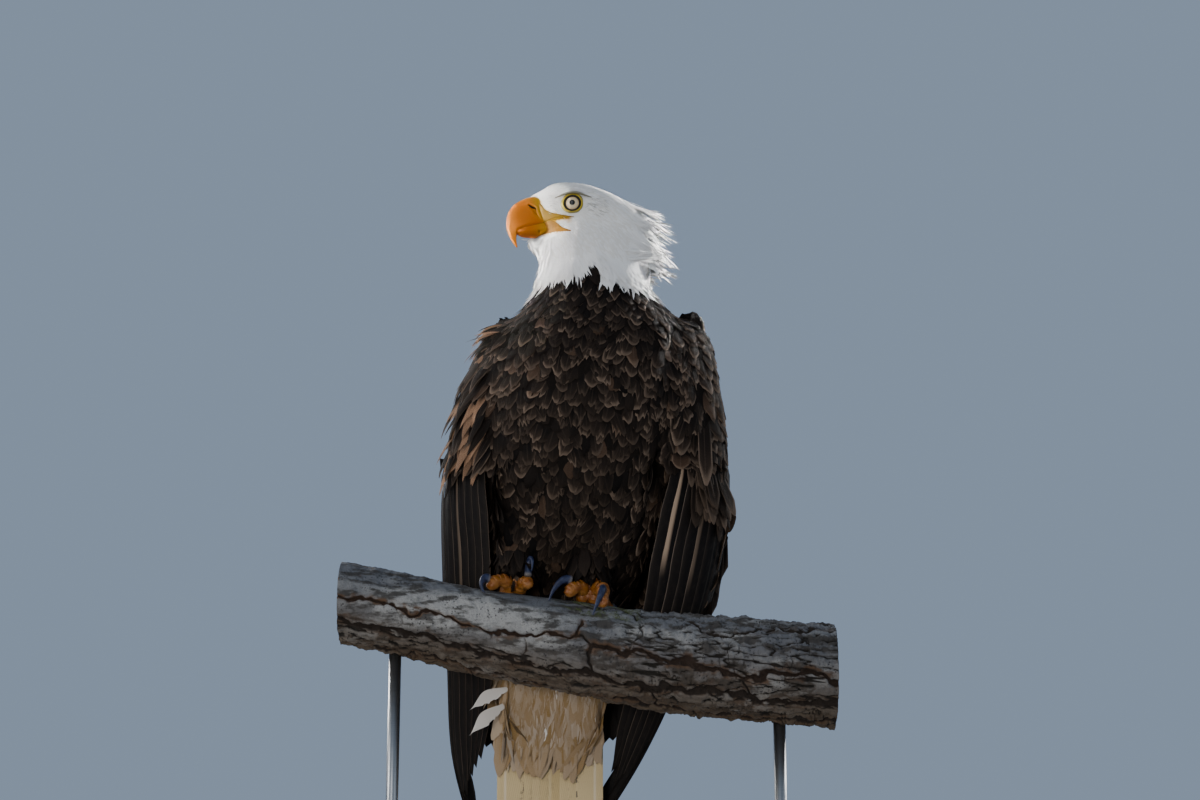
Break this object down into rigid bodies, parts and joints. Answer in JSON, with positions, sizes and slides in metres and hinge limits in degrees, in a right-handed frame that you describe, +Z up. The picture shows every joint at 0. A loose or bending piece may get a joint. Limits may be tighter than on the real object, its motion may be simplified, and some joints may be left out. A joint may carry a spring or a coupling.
{
  "type": "perched eagle display model",
  "caption": "Life-size adult bald eagle, wings folded and head turned to its right, gripping a cut length of limb held by two rods above a flat base.",
  "frame": {"origin": "centre of the display base's flat underside", "axes": "+Z up; the bird's breast faces -Y; its left side is +X; its bill points to -X"},
  "size_m": [0.48, 0.3, 0.8799],
  "materials": {
    "white_feather": "matte",
    "brown_feather": "matte",
    "flight_feather": "matte",
    "bill_horn": "satin",
    "cere_skin": "satin",
    "eye_glass": "gloss",
    "foot_skin": "satin",
    "claw_horn": "satin",
    "bark": "matte",
    "stand_wood": "satin",
    "stand_steel": "satin"
  },
  "bodies": {
    "root": {"bill_lower": "bill_horn", "bill_upper": "bill_horn", "cere": "cere_skin", "claw_left_front": "claw_horn", "claw_left_hind": "claw_horn", "claw_left_inner": "claw_horn", "claw_left_outer": "claw_horn", "claw_right_front": "claw_horn", "claw_right_hind": "claw_horn", "claw_right_inner": "claw_horn", "claw_right_outer": "claw_horn", "eye_left": "eye_glass", "eye_right": "eye_glass", "foot_left": "foot_skin", "foot_right": "foot_skin", "head": "white_feather", "neck": "white_feather", "perch": "bark", "stand_base": "stand_wood", "stand_rod_left": "stand_steel", "stand_rod_right": "stand_steel", "tail": "white_feather", "tail_coverts": "white_feather", "thigh_left": "brown_feather", "thigh_right": "brown_feather", "trunk": "brown_feather", "wing_left_coverts": "brown_feather", "wing_left_primaries": "flight_feather", "wing_left_secondaries": "flight_feather", "wing_right_coverts": "brown_feather", "wing_right_primaries": "flight_feather", "wing_right_secondaries": "flight_feather"}
  },
  "joints": []
}
